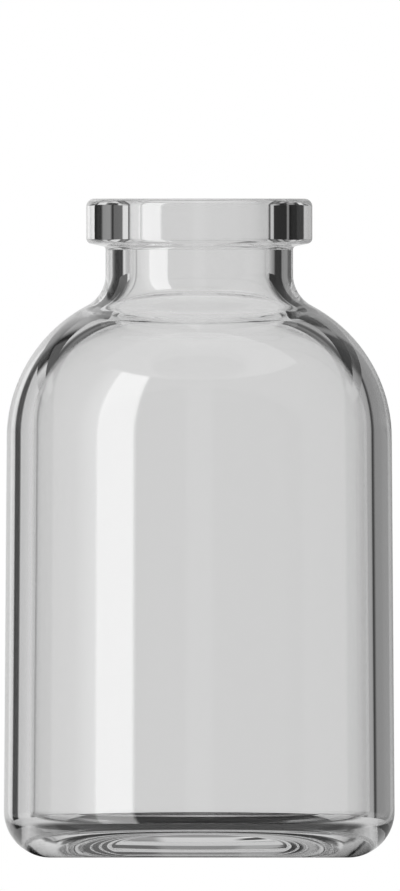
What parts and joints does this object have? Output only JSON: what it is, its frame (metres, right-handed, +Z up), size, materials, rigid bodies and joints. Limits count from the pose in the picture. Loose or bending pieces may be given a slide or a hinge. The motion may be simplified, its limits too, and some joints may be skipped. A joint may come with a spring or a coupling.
{
  "type": "glass injection vial",
  "caption": "Clear moulded glass injection vial with rounded shoulders, a crimp flange at the mouth and a hollow base.",
  "frame": {"origin": "centre of the bounding box at its lowest height: the axis at the level of the ring that the vial stands on", "axes": "+Z up along the axis of the vial, from the base to the mouth"},
  "size_m": [0.0344, 0.0344, 0.058],
  "materials": {
    "glass": "clear, smooth, faintly grey"
  },
  "bodies": {
    "root": {"vial": "glass"}
  },
  "joints": []
}
